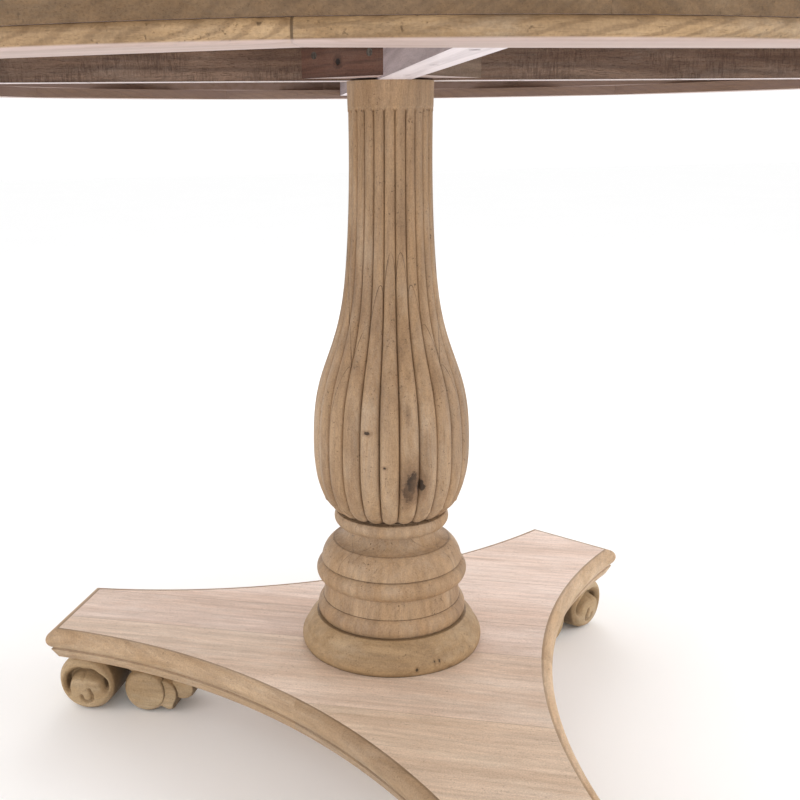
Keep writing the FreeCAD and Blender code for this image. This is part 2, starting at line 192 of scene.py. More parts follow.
class Wood:
    """The colours and figure of one kind of wood: linear colours, and shares from 0 to 1."""

    def __init__(self, mid, dark, pale, wash, wash_share=0.25, streaks=0.6, rings=0.35,
                 saw=0.0, roughness=0.62, bump=0.35, cracks=0.0, specks=0.0, grime=0.0,
                 slant=0.05):
        self.mid, self.dark, self.pale = mid, dark, pale
        self.wash, self.wash_share = wash, wash_share
        self.streaks, self.rings = streaks, rings
        self.saw, self.roughness, self.bump = saw, roughness, bump
        self.cracks, self.specks = cracks, specks
        self.grime, self.slant = grime, slant

    def shadow(self, share):
        return rgb([share * c for c in self.dark])


PALE_AND_LIT_UNDER = (0.56, 0.435, 0.405)     # sawn faces that point down were never stained; this colour also holds painted light from the floor below
INNER_PAINTED_SHADE = (0.240, 0.166, 0.142)    # painted shade on the rim's faces towards the column

BLEACHED = Wood(mid=(0.375, 0.242, 0.132), dark=(0.215, 0.128, 0.066), pale=(0.48, 0.33, 0.195),
                wash=(0.53, 0.415, 0.31), wash_share=0.40, rings=0.10, streaks=0.5, specks=0.6,
                grime=0.35)
COLUMN = Wood(mid=(0.375, 0.235, 0.125), dark=(0.185, 0.107, 0.058), pale=(0.46, 0.305, 0.175),
              wash=(0.50, 0.39, 0.285), wash_share=0.40, rings=0.10, streaks=0.5, specks=0.8,
              grime=0.17, bump=0.5)
LIPPING = Wood(mid=(0.41, 0.272, 0.156), dark=(0.235, 0.145, 0.080), pale=(0.51, 0.36, 0.225),
               wash=(0.56, 0.445, 0.335), wash_share=0.40, rings=0.12, streaks=0.5, specks=0.6)
PLATFORM = Wood(mid=(0.69, 0.525, 0.415), dark=(0.46, 0.325, 0.240), pale=(0.80, 0.65, 0.55),
                wash=(0.80, 0.71, 0.62), wash_share=0.50, streaks=0.6, rings=0.13, specks=0.5,
                bump=0.45)
BEAD = Wood(mid=(0.335, 0.206, 0.098), dark=(0.165, 0.092, 0.040), pale=(0.46, 0.31, 0.17),
            wash=(0.47, 0.37, 0.26), wash_share=0.22, rings=0.55, specks=0.9, slant=0.30,
            streaks=0.9)
APRON = Wood(mid=(0.168, 0.097, 0.045), dark=(0.090, 0.051, 0.024), pale=(0.22, 0.135, 0.068),
             wash=(0.28, 0.21, 0.135), wash_share=0.16, rings=0.3, slant=0.12, specks=0.4)
ROUGH = Wood(mid=(0.180, 0.107, 0.073), dark=(0.070, 0.040, 0.030), pale=(0.27, 0.180, 0.130),
             wash=(0.38, 0.32, 0.275), wash_share=0.18, saw=0.9, roughness=0.8, bump=0.7,
             streaks=1.0, rings=0.35, specks=0.4)
PALE_BEARER = Wood(mid=(0.38, 0.30, 0.32), dark=(0.22, 0.17, 0.18), pale=(0.48, 0.40, 0.42),
                   wash=(0.56, 0.50, 0.52), wash_share=0.35, saw=0.25, streaks=0.9)
RED_BLOCK = Wood(mid=(0.108, 0.043, 0.027), dark=(0.040, 0.018, 0.012), pale=(0.170, 0.078, 0.052),
                 wash=(0.23, 0.145, 0.11), wash_share=0.16, rings=0.4, streaks=0.9, specks=0.6)
BROWN_BLOCK = Wood(mid=(0.235, 0.165, 0.120), dark=(0.13, 0.085, 0.062), pale=(0.31, 0.235, 0.18),
                   wash=(0.36, 0.30, 0.255), wash_share=0.2, rings=0.3, specks=0.5)
TOP = Wood(mid=(0.46, 0.32, 0.21), dark=(0.29, 0.185, 0.115), pale=(0.57, 0.43, 0.31),
           wash=(0.66, 0.57, 0.47), wash_share=0.40, streaks=0.7, rings=0.35, cracks=0.5,
           specks=0.4)


def facing(tree, direction):
    """1 where the surface faces a direction, or the column's axis if it is None."""
    geometry = node(tree, "ShaderNodeNewGeometry")
    normal = geometry.outputs["Normal"]
    if direction is None:
        flat = vector_maths(tree, "MULTIPLY", geometry.outputs["Position"], (-1.0, -1.0, 0.0))
        direction = vector_maths(tree, "NORMALIZE", flat)
    return mapped(tree, vector_maths(tree, "DOT_PRODUCT", normal, direction), 0.55, 0.8)


# ---- the wood's figure: noise frequencies in cycles per metre, along and across the grain ----
warp_noise = (2.2, 9.0)
broad_noise = (1.6, 34.0)
medium_noise = (5.0, 150.0)
fine_noise = (16.0, 620.0)
pore_noise = (130.0, 1900.0)
cloud_noise = (4.0, 16.0)
speck_noise = (330.0, 330.0)
blotch_noise = (38.0, 38.0)
stain_noise = (6.0, 17.0)
faded_noise = (13.0, 32.0)
crack_noise = (2.4, 75.0)
saw_noise = (620.0, 300.0)
patch_noise = (14.0, 30.0)
ragged_noise = (240.0, 240.0)
grit_noise = (620.0, 620.0)
mottle_noise = (14.0, 170.0)
worn_noise = (60.0, 60.0)

grain_sway = 0.03             # metres
fine_share = 0.1575
pit_share = 0.36
bump_height = 0.0012          # metres
crevice_reach = 0.007         # metres
crevice_samples = 6


def bent_grain(tree, where, place, knots):
    """Coordinates whose grain sways, and runs round the knots."""
    warp = fibres(tree, place, *warp_noise, detail=2.0)
    sway = times(tree, maths(tree, "SUBTRACT", warp, 0.5), grain_sway)
    pulls = []
    for knot in knots:
        distance, radius = knot_distance(tree, where, knot)
        pulls.append(mapped(tree, distance, 0.0, radius * 3.0, radius * 1.2, 0.0))
    if pulls:
        sway = maths(tree, "ADD", sway, folded(tree, "ADD", pulls))
    offset = node(tree, "ShaderNodeCombineXYZ", {1: sway, 2: sway}).outputs[0]
    return vector_maths(tree, "ADD", place, offset)


def year_rings(tree, bent, slant, scale):
    place = vector_maths(tree, "MULTIPLY", bent, (slant, 1.0, 1.0))
    return node(tree, "ShaderNodeTexWave",
                {"Vector": place, "Scale": scale, "Distortion": 5.0, "Detail": 3.0,
                 "Detail Scale": 0.9, "Detail Roughness": 0.6},
                wave_type="BANDS", bands_direction="DIAGONAL", wave_profile="SIN").outputs["Fac"]


def specked(tree, kind, where, place, colour):
    """Specks in blotches, then stained and faded patches."""
    speck = fibres(tree, where, *speck_noise, detail=2.0)
    blotch = fibres(tree, where, *blotch_noise, detail=3.0)
    share = times(tree, mapped(tree, speck, 0.60, 0.74), mapped(tree, blotch, 0.45, 0.6))
    colour = mixed(tree, times(tree, share, kind.specks), colour, kind.shadow(0.55))
    stain = mapped(tree, fibres(tree, place, *stain_noise, detail=5.0, rough=0.65), 0.44, 0.64)
    colour = mixed(tree, times(tree, stain, 0.55 * kind.specks), colour, kind.shadow(1.0))
    faded = mapped(tree, fibres(tree, place, *faded_noise, detail=5.0, rough=0.7), 0.50, 0.68)
    return mixed(tree, times(tree, faded, 0.35 * kind.specks), colour, rgb(kind.wash))


def saw_marks(tree, place):
    """Marks across the grain, in patches."""
    slanted = vector_maths(tree, "MULTIPLY", place, (1.0, 0.02, 0.35))
    cut = fibres(tree, slanted, *saw_noise, detail=3.0)
    patches = fibres(tree, place, *patch_noise, detail=3.0)
    return times(tree, mapped(tree, cut, 0.42, 0.66), mapped(tree, patches, 0.42, 0.60))


def knot_masks(tree, where, knot):
    """The ragged dark heart of a knot, and the darker wood round it."""
    distance, radius = knot_distance(tree, where, knot)
    noise = maths(tree, "SUBTRACT", fibres(tree, where, *ragged_noise, detail=3.0), 0.5)
    ragged = maths(tree, "ADD", distance, times(tree, noise, radius * 1.1))
    heart = mapped(tree, ragged, radius * 0.62, radius * 0.95, 0.95, 0.0)
    return heart, mapped(tree, ragged, radius * 0.9, radius * 2.4, 0.55, 0.0)


def wood(name, kind, grain, seed, tone=(1.0, 1.0, 1.0), knots=(), extra_dark=None,
         ring_scale=52.0, under=None, inner=None):
    """A procedural wood. extra_dark(tree, where) returns a mask of dark lines; on the feet it is a
    mask of painted shade.

    under is the colour of faces that point down, paler wood with painted light from below; inner
    is painted shade on faces towards the column.
    """
    material = bpy.data.materials.new(name)
    material.use_nodes = True
    tree = material.node_tree
    tree.nodes.clear()
    where, place = local_place(tree, grain, seed)
    bent = bent_grain(tree, where, place, knots)

    broad = fibres(tree, bent, *broad_noise, detail=4.0, rough=0.6)
    medium = fibres(tree, bent, *medium_noise, detail=3.0, rough=0.6)
    fine = fibres(tree, bent, *fine_noise, detail=2.0)
    pore = fibres(tree, bent, *pore_noise, detail=1.0)
    cloud = fibres(tree, bent, *cloud_noise, detail=5.0, rough=0.65)
    rings = year_rings(tree, bent, kind.slant, ring_scale)

    streak = mapped(tree, broad, 0.33, 0.67)
    colour = mixed(tree, times(tree, streak, kind.streaks), rgb(kind.mid), rgb(kind.pale))
    shade = times(tree, mapped(tree, medium, 0.40, 0.72), 0.55 * kind.streaks)
    colour = mixed(tree, shade, colour, kind.shadow(1.0))
    ring_share = times(tree, mapped(tree, rings, 0.55, 1.0), kind.rings)
    colour = mixed(tree, ring_share, colour, kind.shadow(1.0))
    wash = times(tree, mapped(tree, cloud, 0.42, 0.68), mapped(tree, fine, 0.35, 0.60, 0.35, 1.0))
    colour = mixed(tree, times(tree, wash, kind.wash_share), colour, rgb(kind.wash))
    lines = times(tree, mapped(tree, fine, 0.48, 0.72), fine_share)
    colour = mixed(tree, lines, colour, kind.shadow(1.0))
    pits = mapped(tree, pore, 0.60, 0.70)
    colour = mixed(tree, times(tree, pits, pit_share), colour, kind.shadow(0.6))
    height = maths(tree, "ADD", times(tree, fine, 0.5), times(tree, medium, 0.4))
    height = maths(tree, "SUBTRACT", height, times(tree, pits, 0.5))
    if kind.specks:
        colour = specked(tree, kind, where, place, colour)
    if kind.cracks:
        gape = fibres(tree, bent, *crack_noise, detail=2.0)
        crack = mapped(tree, gape, 0.755, 0.775, 0.0, kind.cracks)
        colour = mixed(tree, crack, colour, kind.shadow(0.35))
        height = maths(tree, "SUBTRACT", height, crack)
    if kind.saw:
        marks = saw_marks(tree, place)
        colour = mixed(tree, times(tree, marks, 0.55 * kind.saw), colour, kind.shadow(1.0))
        height = maths(tree, "ADD", height, times(tree, marks, 0.8 * kind.saw))
    for knot in knots:
        heart, ring = knot_masks(tree, where, knot)
        colour = mixed(tree, ring, colour, kind.shadow(1.0))
        colour = mixed(tree, heart, colour, kind.shadow(0.22))
        height = maths(tree, "SUBTRACT", height, heart)
    if extra_dark is not None:
        lines = extra_dark(tree, where)
        colour = mixed(tree, lines, colour, kind.shadow(0.45))
        height = maths(tree, "SUBTRACT", height, lines)
    grit = mapped(tree, fibres(tree, where, *grit_noise, detail=2.0), 0.30, 0.70, 0.90, 1.09)
    mottle = mapped(tree, fibres(tree, place, *mottle_noise, detail=4.0), 0.32, 0.68, 0.92, 1.07)
    colour = vector_maths(tree, "MULTIPLY", colour, times(tree, grit, mottle))
    colour = mixed(tree, 1.0, colour, rgb(tone), blend="MULTIPLY")
    # painted shade in crevices, taken from ambient occlusion, together with the grime that gathers
    # there
    if kind.grime:
        open_share = node(tree, "ShaderNodeAmbientOcclusion", {"Distance": crevice_reach},
                          samples=crevice_samples).outputs["AO"]
        crevice_dirt_and_shade = mapped(tree, open_share, 0.30, 0.80, kind.grime, 0.0)
        colour = mixed(tree, crevice_dirt_and_shade, colour, kind.shadow(0.42))
    # painted light: faces that point down are made paler, as if lit from the floor below, over the
    # paler unstained wood
    if under is not None:
        veil = times(tree, facing(tree, (0.0, 0.0, -1.0)),
                     mapped(tree, medium, 0.3, 0.8, 0.95, 0.6))
        colour = mixed(tree, veil, colour, rgb(under))
    # painted shade: faces towards the column are darkened as if the tabletop's shade fell on them
    if inner is not None:
        veil = times(tree, facing(tree, None), mapped(tree, medium, 0.3, 0.8, 0.95, 0.5))
        colour = mixed(tree, veil, colour, rgb(inner))

    rough = mapped(tree, maths(tree, "ADD", streak, fine), 0.2, 1.6, kind.roughness + 0.08,
                   kind.roughness - 0.10)
    bump = node(tree, "ShaderNodeBump",
                {"Strength": kind.bump, "Distance": bump_height, "Height": height})
    shader = node(tree, "ShaderNodeBsdfPrincipled",
                  {"Base Color": colour, "Roughness": rough, "Normal": bump.outputs["Normal"],
                   "Specular IOR Level": 0.35})
    node(tree, "ShaderNodeOutputMaterial", {"Surface": shader.outputs[0]})
    return material


steel_colour = (0.16, 0.145, 0.13)
tarnish_colour = (0.06, 0.05, 0.042)


def steel(name):
    """Dull zinc-plated steel."""
    material = bpy.data.materials.new(name)
    material.use_nodes = True
    tree = material.node_tree
    tree.nodes.clear()
    where = node(tree, "ShaderNodeTexCoord").outputs["Object"]
    spots = fibres(tree, where, 260.0, 260.0, detail=4.0)
    scratches = fibres(tree, where, 900.0, 120.0, detail=2.0)
    colour = mixed(tree, mapped(tree, spots, 0.35, 0.7), rgb(steel_colour), rgb(tarnish_colour))
    rough = mapped(tree, scratches, 0.3, 0.7, 0.45, 0.65)
    bump = node(tree, "ShaderNodeBump",
                {"Strength": 0.15, "Distance": 0.0004, "Height": scratches})
    shader = node(tree, "ShaderNodeBsdfPrincipled",
                  {"Base Color": colour, "Roughness": rough, "Metallic": 1.0,
                   "Normal": bump.outputs["Normal"]})
    node(tree, "ShaderNodeOutputMaterial", {"Surface": shader.outputs[0]})
    return material


def dress(thing, material):
    thing.data.materials.clear()
    thing.data.materials.append(material)


weld_distance = 0.01 * MM
eased_angle = 35.0            # edges sharper than this are eased


def eased(thing, width):
    """Weld a CAD node's facets and ease its sharp edges, without touching its mesh."""
    weld = thing.modifiers.new("weld", "WELD")
    weld.merge_threshold = weld_distance
    bevel = thing.modifiers.new("ease", "BEVEL")
    bevel.width = width
    bevel.segments = 2
    bevel.limit_method = "ANGLE"
    bevel.angle_limit = math.radians(eased_angle)


def finish_cad(name, material, width=0.0):
    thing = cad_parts[name]
    dress(thing, material)
    if width:
        eased(thing, width)


def new_piece(name, points, faces, material, nodes, sharp=24.0):
    mesh = bpy.data.meshes.new(name)
    mesh.from_pydata([tuple(p) for p in points], [], faces)
    mesh.validate()
    mesh.update()
    for polygon in mesh.polygons:
        polygon.use_smooth = True
    mesh.set_sharp_from_angle(angle=math.radians(sharp))
    thing = bpy.data.objects.new(name, mesh)
    bpy.context.scene.collection.objects.link(thing)
    dress(thing, material)
    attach(thing, "root")
    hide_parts(*nodes)
    return thing


# ---- the turned and reeded column ----
column_nodes = ("column_core", "column_cheek_front", "column_cheek_back", "column_cheek_left",
                "column_cheek_right")
core_half_width = 44.5 * MM
reed_count = 24
reed_steps = 16               # points across one reed
band_depth = 24 * MM          # the plain band above the reeds
arch_rise = 5 * MM            # each reed's rounded upper end
lobe_rise = 9 * MM            # each reed's rounded lower end
collar_top = ring_top + 118 * MM
reed_relief = 0.55            # of half a reed's width
groove_share = 0.12           # the same, at the reed's very edge
reed_sink = 0.5 * MM          # the reeds' crests below the turned surface
smoothing_passes = 3


def solid_trees(names):
    """A ray-casting tree of each node's mesh."""
    trees = []
    for name in names:
        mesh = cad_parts[name].data
        points = [v.co.copy() for v in mesh.vertices]
        trees.append(BVHTree.FromPolygons(points, [tuple(p.vertices) for p in mesh.polygons]))
    return trees


def turned_radius(trees, height):
    """The turned surface's distance from the axis at a height, on the front cheek's side."""
    reach = 0.0
    outside = compass(column_turn + 180.0, 0.5, height)
    inwards = compass(column_turn, 1.0)
    for tree in trees:
        hit = tree.ray_cast(outside, inwards, 0.5)[0]
        if hit is not None:
            reach = max(reach, math.hypot(hit.x, hit.y))
    return reach


def column_levels():
    """Heights of the column's rows of points, close together where its shape changes fast."""
    levels = [ring_top + 0.05 * MM]
    while levels[-1] < column_top - 0.1 * MM:
        z = levels[-1]
        if z < collar_top + 14 * MM:
            step = 0.5 * MM
        elif z < column_top - band_depth - 14 * MM:
            step = 4.0 * MM
        elif z < column_top - band_depth + 3 * MM:
            step = 0.7 * MM
        else:
            step = 3.0 * MM
        levels.append(min(z + step, column_top - 0.05 * MM))
    return levels


def smoothed(values, low, high):
    values = list(values)
    for _ in range(smoothing_passes):
        before = list(values)
        for i in range(low + 1, high - 1):
            values[i] = 0.25 * before[i - 1] + 0.5 * before[i] + 0.25 * before[i + 1]
    return values


def smoothstep(low, high, value):
    t = min(1.0, max(0.0, (value - low) / (high - low)))
    return t * t * (3.0 - 2.0 * t)


def reed_depth(across, radius, height):
    """How far the surface lies inside the turned radius, across one reed (-1 to 1)."""
    half_pitch = math.pi * radius / reed_count
    arch = column_top - band_depth - arch_rise * (1.0 - math.sqrt(max(0.0, 1.0 - across ** 2)))
    started = smoothstep(0.0, 1.6 * MM, arch - height)
    if started <= 0.0:
        return 0.0
    lobe_end = collar_top - 1.0 * MM
    lift = min(1.0, max(0.0, (height - lobe_end) / lobe_rise))
    width = math.sqrt(max(0.02, 1.0 - (1.0 - lift) ** 2.2))
    spread = min(1.0, abs(across) / width)
    crest = reed_relief * half_pitch * (1.0 - math.sqrt(max(0.0, 1.0 - spread ** 2)))
    groove = groove_share * half_pitch * smoothstep(0.88, 1.0, spread)
    return started * (reed_sink + crest + groove)


# dark lines in the creases between the turnings: painted shade and dirt; the lowest is the joint
# on the base ring
column_crease_lines = (              # height, half width and strength
    (ring_top + 0.3 * MM, 0.5 * MM, 0.35), (ring_top + 19 * MM, 0.5 * MM, 0.6),
    (ring_top + 39 * MM, 0.4 * MM, 0.6), (ring_top + 61 * MM, 0.6 * MM, 0.7),
    (ring_top + 84 * MM, 0.4 * MM, 0.35), (collar_top + 0.2 * MM, 1.0 * MM, 0.8))
column_knots = (
    (compass(187.2, 79.0 * MM, ring_top + 162 * MM), 7.4 * MM, (1.0, 1.0, 0.55)),
    (compass(184.6, 79.5 * MM, ring_top + 173 * MM), 6.4 * MM, (1.0, 1.0, 0.42)),
    (compass(177.8, 79.0 * MM, ring_top + 166 * MM), 5.4 * MM, (0.9, 0.9, 0.6)),
    (compass(217.0, 82.5 * MM, ring_top + 222 * MM), 2.2 * MM, (0.5, 0.5, 1.1)),
    (compass(204.0, 81.5 * MM, ring_top + 187 * MM), 1.4 * MM, (0.7, 0.7, 1.0)),
    (compass(188.0, 80.0 * MM, ring_top + 246 * MM), 2.0 * MM, (1.0, 1.0, 0.22)),
    (compass(171.8, 54.4 * MM, ring_top + 355 * MM), 1.6 * MM, (0.6, 0.6, 1.0)))
glue_half_width = 0.32 * MM


def column_lines(tree, where):
    """The glue lines round the core, worn in places, and dark lines in the creases between the
    turnings, painted shade and dirt.
    """
    x, y, z = split(tree, where, column_turn)
    normal = node(tree, "ShaderNodeNewGeometry").outputs["Normal"]
    lean_x, lean_y, _ = split(tree, normal, column_turn, "VECTOR")
    across = plane_line(tree, y, lean_y, core_half_width, glue_half_width)
    between = maths(tree, "LESS_THAN", maths(tree, "ABSOLUTE", y), core_half_width)
    along = times(tree, plane_line(tree, x, lean_x, core_half_width, glue_half_width), between)
    high = mapped(tree, z, collar_top - 5 * MM, collar_top, 0.45, 0.85)
    worn = mapped(tree, fibres(tree, where, *worn_noise, detail=3.0), 0.38, 0.58, 0.35, 1.0)
    lines = times(tree, highest(tree, across, along), high, worn)
    for height, half_width, share in column_crease_lines:
        crease_mark = times(tree, level_line(tree, where, height, half_width), share)
        lines = highest(tree, lines, crease_mark)
    return lines


def column_look():
    trees = solid_trees(column_nodes)
    levels = column_levels()
    radii = [turned_radius(trees, z) for z in levels]
    low = next(i for i, z in enumerate(levels) if z > collar_top + 2 * MM)
    radii = smoothed(radii, low, len(levels))
    points, faces = [], []
    around = reed_count * reed_steps
    for z, radius in zip(levels, radii):
        for k in range(around):
            reed, step = divmod(k, reed_steps)
            across = math.sin(math.pi / 2.0 * (2.0 * step / reed_steps - 1.0))
            angle = column_turn + 360.0 / reed_count * (reed + 0.5 + 0.5 * across)
            inset = reed_depth(across, radius, z) if z > collar_top - 1.5 * MM else 0.0
            points.append(compass(angle, radius - inset, z))
    rows = len(levels)
    for row in range(rows - 1):
        for k in range(around):
            a, b = row * around + k, row * around + (k + 1) % around
            faces.append((a, a + around, b + around, b))
    faces.append(tuple(range(around)))
    faces.append(tuple((rows - 1) * around + k for k in reversed(range(around))))
    material = wood("column_wood", COLUMN, "up", 3.1, knots=column_knots,
                    extra_dark=column_lines)
    new_piece("column_look", points, faces, material, column_nodes)


# ---- the carved scroll feet ----
volute_gap = 2.8 * MM
volute_radius = (foot_top + 0.8 * MM - volute_gap) / 2.0
volute_half_width = 45 * MM
lobe_half_width = 33 * MM
groove_depth = 16 * MM
# the volute's face: angle and place of the outer groove, in shares of the volute's radius
groove_path = ((200.0, 0.76), (168.0, 0.70), (140.0, 0.50), (90.0, 0.38), (45.0, 0.49),
               (12.0, 0.62), (-20.0, 0.68), (-48.0, 0.70))
# the little curl inside it, outwards and upwards
curl_path = ((-0.20, -0.16), (-0.27, -0.36), (-0.25, -0.56), (-0.08, -0.66), (0.08, -0.56),
             (0.10, -0.42))
curl_share = 0.30
curl_half_width = 0.055


def path_distance(x, y, path):
    """How far a point lies from a chain of straight pieces."""
    nearest = 9.0
    for (ax, ay), (bx, by) in zip(path, path[1:]):
        dx, dy = bx - ax, by - ay
        t = ((x - ax) * dx + (y - ay) * dy) / (dx * dx + dy * dy)
        t = min(1.0, max(0.0, t))
        nearest = min(nearest, math.hypot(x - ax - t * dx, y - ay - t * dy))
    return nearest


def volute_cut(share, phi):
    """Depth, from 0 to 1, of the grooves carved into the volute's face."""
    degrees = math.degrees(phi) % 360.0
    if degrees > 215.0:
        degrees -= 360.0
    line_at = groove_path[-1][1]
    for (a, at_a), (b, at_b) in zip(groove_path, groove_path[1:]):
        if b <= degrees <= a:
            line_at = at_a + (at_b - at_a) * (a - degrees) / (a - b)
    if degrees > groove_path[0][0]:
        line_at = groove_path[0][1]
    fade = smoothstep(-50.0, -8.0, degrees) * (1.0 - smoothstep(180.0, 205.0, degrees))
    widest = smoothstep(-30.0, 50.0, degrees) * (1.0 - smoothstep(120.0, 180.0, degrees))
    wide = 0.09 + 0.06 * widest
    outer = fade * math.exp(-((share - line_at) / wide) ** 2)
    near = path_distance(share * math.cos(phi), share * math.sin(phi), curl_path)
    inner = curl_share * math.exp(-(near / curl_half_width) ** 2)
    return max(outer, inner)


def carved_roll(points, faces, outward, height, radius, half_width, boss, depth=0.0, tip=0.0,
                tip_angle=270.0):
    """A roll across the arm, its sides domed, and grooved to a depth if it is a volute.

    tip draws the roll out into a point at tip_angle. The arm runs along X here.
    """
    around, ring_steps, width_steps = 120, 40, 12
    sections = []
    for i in range(ring_steps + 1):
        sections.append(("side", -1, 0.985 * i / ring_steps))
    for i in range(1, width_steps):
        sections.append(("barrel", 0, 2.0 * i / width_steps - 1.0))
    for i in range(ring_steps + 1):
        sections.append(("side", 1, 0.985 * (1.0 - i / ring_steps)))
    first = len(points)
    for kind, side, value in sections:
        for k in range(around):
            phi = 2.0 * math.pi * k / around
            swell = 1.0 + tip * max(0.0, math.cos(phi - math.radians(tip_angle))) ** 20
            if kind == "barrel":
                r = radius * swell * (1.0 - 0.02 * value ** 6)
                v = value * (half_width - 2.2 * MM)
            else:
                r = radius * value * swell
                dome = 1.0 - value ** 2.2
                rounding = 5.0 * MM * smoothstep(0.80, 1.0, value) ** 2
                groove = volute_cut(value, phi) * depth if depth else 0.0
                v = side * (half_width + boss * dome - groove - rounding)
            points.append(Vector((outward + r * math.cos(phi), v, height + r * math.sin(phi))))
    rows = len(sections)
    for row in range(rows - 1):
        for k in range(around):
            a, b = first + row * around + k, first + row * around + (k + 1) % around
            faces.append((a, b, b + around, a + around))


def web(points, faces, stations):
    """The foot's upper part: a loft through (outward, underside height, half width)."""
    first = len(points)
    corner, corner_steps = 6 * MM, 5
    for outward, under, half in stations:
        ring = [(half, foot_top - 0.3 * MM), (half, under + corner)]
        for i in range(1, corner_steps):
            a = math.pi / 2.0 * i / corner_steps
            ring.append((half - corner * (1.0 - math.cos(a)),
                         under + corner * (1.0 - math.sin(a))))
        ring.append((half - corner, under))
        ring = ring + [(-v, z) for v, z in reversed(ring)]
        for v, z in ring:
            points.append(Vector((outward, v, z)))
    per = len(ring)
    for row in range(len(stations) - 1):
        for k in range(per):
            a, b = first + row * per + k, first + row * per + (k + 1) % per
            faces.append((a, a + per, b + per, b))
    faces.append(tuple(first + k for k in range(per)))
    faces.append(tuple(first + (len(stations) - 1) * per + k for k in reversed(range(per))))


def foot_look(number, angle):
    """One foot: the volute, three smaller rolls towards the column, and the web above them."""
    points, faces = [], []
    centre = -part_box("scroll_foot_2")[0].y - volute_radius
    carved_roll(points, faces, centre, volute_radius - 0.4 * MM, volute_radius - 0.4 * MM,
                volute_half_width, 7 * MM, depth=groove_depth)
    carved_roll(points, faces, centre - 69 * MM, 26.5 * MM, 26.3 * MM, lobe_half_width + 4 * MM,
                3 * MM)
    carved_roll(points, faces, centre - 90 * MM, 24 * MM, 18.2 * MM, lobe_half_width + 1 * MM,
                1.5 * MM, tip=0.28, tip_angle=246.0)
    carved_roll(points, faces, centre - 112.3 * MM, foot_top - 40 * MM, 15 * MM,
                lobe_half_width - 3 * MM, 1.5 * MM)
    web(points, faces, [
        (centre - 122 * MM, foot_top - 32 * MM, lobe_half_width - 7 * MM),
        (centre - 104 * MM, foot_top - 38 * MM, lobe_half_width - 7 * MM),
        (centre - 90 * MM, foot_top - 42 * MM, lobe_half_width - 4 * MM),
        (centre - 69 * MM, foot_top - 38 * MM, lobe_half_width - 2 * MM),
        (centre - 46 * MM, foot_top - 24 * MM, lobe_half_width - 2 * MM),
        (centre - 34 * MM, foot_top - 17 * MM, lobe_half_width + 2 * MM),
        (centre - 22 * MM, foot_top - 15 * MM, volute_half_width - 5 * MM),
        (centre - 4 * MM, foot_top - 13 * MM, volute_half_width - 2 * MM),
        (centre + 10 * MM, foot_top - 7 * MM, volute_half_width - 2 * MM),
    ])

    def barrel_painted_shade(tree, where):
        """Painted shade on the volute's barrel, on the side towards the column."""
        across = maths(tree, "ABSOLUTE", split(tree, where, angle)[0])
        barrel = mapped(tree, across, volute_half_width - 6 * MM, volute_half_width - 2 * MM,
                        0.75, 0.0)
        return times(tree, facing(tree, None), barrel)

    turn = Matrix.Rotation(math.radians(90.0 - angle), 4, "Z")
    points = [turn @ p for p in points]
    material = wood("foot_wood_%d" % number, BLEACHED, angle, 11.0 + number,
                    tone=(1.10, 1.16, 1.14), extra_dark=barrel_painted_shade)
    new_piece("foot_look_%d" % number, points, faces, material,
              ("scroll_foot_%d" % number,), sharp=60.0)


# ---- finishes of the CAD nodes ----
def extent(name, angle):
    """How far a node reaches along a compass direction, least and most."""
    direction = compass(angle)
    reach = [v.co.dot(direction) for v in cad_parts[name].data.vertices]
    return min(reach), max(reach)


def edge_lines(name, angle, half_width, share):
    """Dark lines where a plank meets its neighbours, across a compass direction."""
    low, high = extent(name, angle)

    def lines(tree, where):
        along = split(tree, where, angle)[1]
        masks = [mapped(tree, distance_to(tree, along, place), half_width * 0.4, half_width,
                        share, 0.0) for place in (low, high)]
        return highest(tree, *masks)

    return lines


platform_tones = ((0.98, 0.98, 0.92), (1.0, 1.0, 0.98), (1.06, 1.07, 1.12), (1.15, 1.17, 1.24),
                  (1.15, 1.17, 1.24))


def finish_platform():
    for number, tone in enumerate(platform_tones, 1):
        name = "platform_plank_%d" % number
        material = wood("%s_wood" % name, PLATFORM, plank_angle, 20.0 + 1.7 * number, tone=tone,
                        extra_dark=edge_lines(name, plank_angle + 90.0, 0.7 * MM, 0.38))
        finish_cad(name, material, 0.6 * MM)


def box_centre(name):
    low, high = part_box(name)
    return (low + high) / 2.0


def lipping_lines(tree, where):
    """The dark glue line along the planks, and painted shade in the crease under the round."""
    top = mapped(tree, split(tree, where)[2], platform_top - 0.45 * MM, platform_top - 0.05 * MM)
    # painted shade in the crease under the round
    crease_shade = level_line(tree, where, platform_top - 22.8 * MM, 1.3 * MM)
    return highest(tree, times(tree, top, 0.40), times(tree, crease_shade, 0.35))


right_side_painted_light = 0.28        # painted light: the lipping between the near and the right arm is made paler, where the light falls more strongly


def finish_lippings():
    for number, angle in enumerate(arm_angles, 1):
        name = "end_lipping_%d" % number
        material = wood(name + "_wood", LIPPING, angle + 90.0, 40.0 + number,
                        tone=(1.08, 1.08, 1.08), extra_dark=lipping_lines)
        finish_cad(name, material, 0.4 * MM)
    for number in range(1, 8):
        name = "side_lipping_%d" % number
        centre = box_centre(name)
        bearing = math.degrees(math.atan2(centre.x, centre.y))
        side = min((0.0, 120.0, 240.0),
                   key=lambda a: abs((a - bearing + 180.0) % 360.0 - 180.0))
        # the tone adds painted light on the right side to a random spread
        tone = 1.0 + 0.05 * math.sin(2.0 * number) + (right_side_painted_light if side == 120.0 else 0.0)
        material = wood(name + "_wood", LIPPING, side + 90.0, 50.0 + 1.3 * number,
                        tone=(tone, tone, tone), extra_dark=lipping_lines)
        finish_cad(name, material, 0.4 * MM)


bead_tones = {5: 0.86, 6: 1.0, 7: 1.03}
open_joint, closed_joint = 0.85, 0.25


